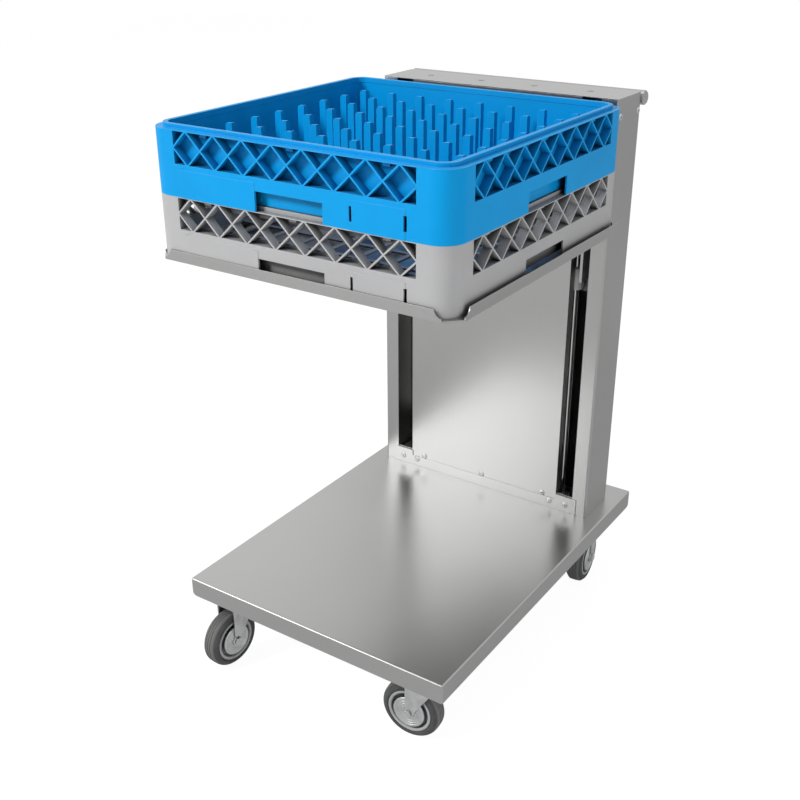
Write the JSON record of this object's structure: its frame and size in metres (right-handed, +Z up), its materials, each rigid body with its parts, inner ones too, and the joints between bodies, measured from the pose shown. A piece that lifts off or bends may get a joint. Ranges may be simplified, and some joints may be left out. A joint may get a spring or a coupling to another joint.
{
  "type": "rack dispenser trolley",
  "caption": "Wheeled stainless trolley: flat base, hollow rear column and a spring-lifted cantilever tray holding stacked lattice-sided dishwasher racks.",
  "frame": {"origin": "on the floor under the middle of the base", "axes": "+Z up, front of the trolley towards -Y, column at +Y"},
  "size_m": [0.512, 0.721, 0.9106],
  "materials": {
    "stainless": "satin brushed",
    "zinc_plate": "bright zinc",
    "spring_steel": "oiled",
    "rod_chrome": "ground and chromed",
    "bush_plastic": "natural",
    "buffer_rubber": "moulded",
    "plug_plastic": "moulded",
    "rack_grey": "moulded satin",
    "rack_blue": "moulded satin",
    "wheel_grey": "moulded",
    "tyre_grey": "moulded grey rubber"
  },
  "bodies": {
    "cart": {"base_platform": "stainless", "base_channel_front": "stainless", "base_channel_rear": "stainless", "column_shell": "stainless", "column_front_panel": "stainless", "column_foot": "stainless", "column_foot_rail": "stainless", "column_cap": "stainless", "spring_hanger_rail": "stainless", "guide_rod_left": "rod_chrome", "guide_rod_right": "rod_chrome", "rod_blocks": "zinc_plate", "upper_buffers": "buffer_rubber", "lower_buffers": "buffer_rubber", "lift_springs": "spring_steel", "push_bar": "stainless", "push_bar_plugs": "plug_plastic", "push_bar_screws": "zinc_plate", "cap_screws": "zinc_plate", "side_screws": "zinc_plate", "foot_rail_screws": "zinc_plate", "panel_screws": "zinc_plate", "column_bolts": "zinc_plate", "caster_kingpins": "zinc_plate", "caster_bolts": "zinc_plate", "caster_plate_front_left": "zinc_plate", "caster_plate_front_right": "zinc_plate", "caster_plate_rear_right": "zinc_plate", "caster_plate_rear_left": "zinc_plate"},
    "carriage": {"carriage_plate": "stainless", "slide_bushes": "bush_plastic", "carrier_arm_left": "stainless", "carrier_arm_right": "stainless", "carrier_tray": "stainless", "tray_bolts": "zinc_plate"},
    "lower_rack": {"lower_rack": "rack_grey"},
    "upper_rack": {"upper_rack": "rack_blue", "upper_rack_pegs": "rack_blue"},
    "fork_front_left": {"caster_fork_front_left": "zinc_plate", "caster_axle_front_left": "zinc_plate", "caster_guards_front_left": "zinc_plate"},
    "wheel_front_left": {"wheel_hub_front_left": "wheel_grey", "wheel_tyre_front_left": "tyre_grey"},
    "fork_front_right": {"caster_fork_front_right": "zinc_plate", "caster_axle_front_right": "zinc_plate", "caster_guards_front_right": "zinc_plate"},
    "wheel_front_right": {"wheel_hub_front_right": "wheel_grey", "wheel_tyre_front_right": "tyre_grey"},
    "fork_rear_right": {"caster_fork_rear_right": "zinc_plate", "caster_axle_rear_right": "zinc_plate", "caster_guards_rear_right": "zinc_plate"},
    "wheel_rear_right": {"wheel_hub_rear_right": "wheel_grey", "wheel_tyre_rear_right": "tyre_grey"},
    "fork_rear_left": {"caster_fork_rear_left": "zinc_plate", "caster_axle_rear_left": "zinc_plate", "caster_guards_rear_left": "zinc_plate"},
    "wheel_rear_left": {"wheel_hub_rear_left": "wheel_grey", "wheel_tyre_rear_left": "tyre_grey"}
  },
  "joints": [
    {"name": "carriage_lift", "type": "slide", "parent": "cart", "child": "carriage", "axis": [0, 0, 1], "range_m": [-0.37, 0], "stiffness_N_per_m": 900, "springref_m": 0.2, "deforming": ["lift_springs"]},
    {"name": "lower_rack_lift", "type": "slide", "parent": "carriage", "child": "lower_rack", "axis": [0, 0, 1], "range_m": [0, 0.15]},
    {"name": "upper_rack_lift", "type": "slide", "parent": "lower_rack", "child": "upper_rack", "axis": [0, 0, 1], "range_m": [0, 0.15]},
    {"name": "swivel_front_left", "type": "hinge", "parent": "cart", "child": "fork_front_left", "pos_m": [-0.1915, -0.28, 0.129], "axis": [0, 0, 1], "continuous": true},
    {"name": "roll_front_left", "type": "hinge", "parent": "fork_front_left", "child": "wheel_front_left", "pos_m": [-0.19437, -0.30986, 0.05], "axis": [-0.9954, 0.0958, 0], "continuous": true},
    {"name": "swivel_front_right", "type": "hinge", "parent": "cart", "child": "fork_front_right", "pos_m": [0.1915, -0.28, 0.129], "axis": [0, 0, 1], "continuous": true},
    {"name": "roll_front_right", "type": "hinge", "parent": "fork_front_right", "child": "wheel_front_right", "pos_m": [0.16161, -0.28262, 0.05], "axis": [-0.0872, 0.9962, 0], "continuous": true},
    {"name": "swivel_rear_right", "type": "hinge", "parent": "cart", "child": "fork_rear_right", "pos_m": [0.1915, 0.28, 0.129], "axis": [0, 0, 1], "continuous": true},
    {"name": "roll_rear_right", "type": "hinge", "parent": "fork_rear_right", "child": "wheel_rear_right", "pos_m": [0.19464, 0.25016, 0.05], "axis": [-0.9945, -0.1045, 0], "continuous": true},
    {"name": "swivel_rear_left", "type": "hinge", "parent": "cart", "child": "fork_rear_left", "pos_m": [-0.1915, 0.28, 0.129], "axis": [0, 0, 1], "continuous": true},
    {"name": "roll_rear_left", "type": "hinge", "parent": "fork_rear_left", "child": "wheel_rear_left", "pos_m": [-0.19045, 0.30998, 0.05], "axis": [0.9994, -0.0349, 0], "continuous": true}
  ]
}
